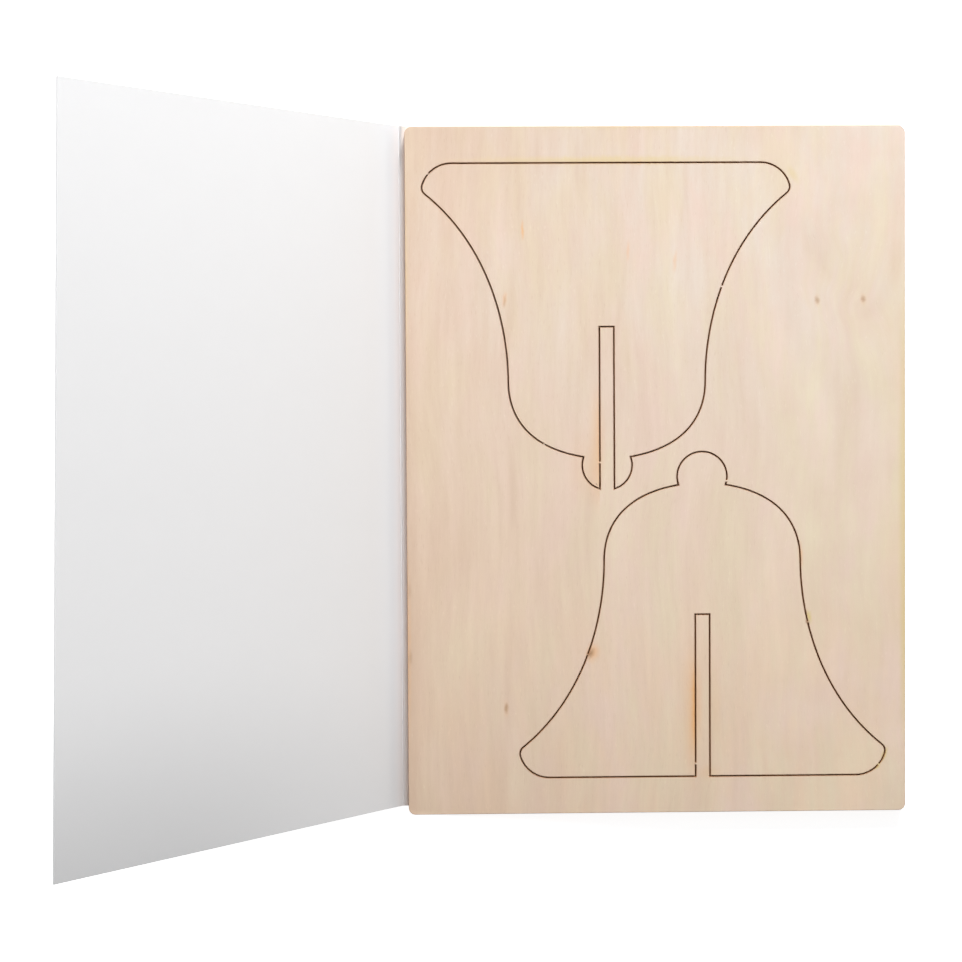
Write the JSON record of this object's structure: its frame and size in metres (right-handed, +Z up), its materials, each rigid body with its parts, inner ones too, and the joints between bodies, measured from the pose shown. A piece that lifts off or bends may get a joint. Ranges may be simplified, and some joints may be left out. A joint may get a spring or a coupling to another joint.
{
  "type": "greeting card",
  "caption": "Folded blank card lying open on its back panel, with a thin plywood sheet on it that holds slotted press-out bell halves by small uncut bridges.",
  "frame": {"origin": "middle of the back panel's underside, on the surface that the card lies on", "axes": "+X from the fold towards the open edge, +Y from the foot of the card to its head, +Z up from the surface"},
  "size_m": [0.175, 0.1506, 0.0913],
  "materials": {
    "card": "matte",
    "plywood": "matte"
  },
  "bodies": {
    "root": {"folded_card": "card", "plywood_surround": "plywood", "upper_bell_half": "plywood", "lower_bell_half": "plywood"}
  },
  "joints": []
}
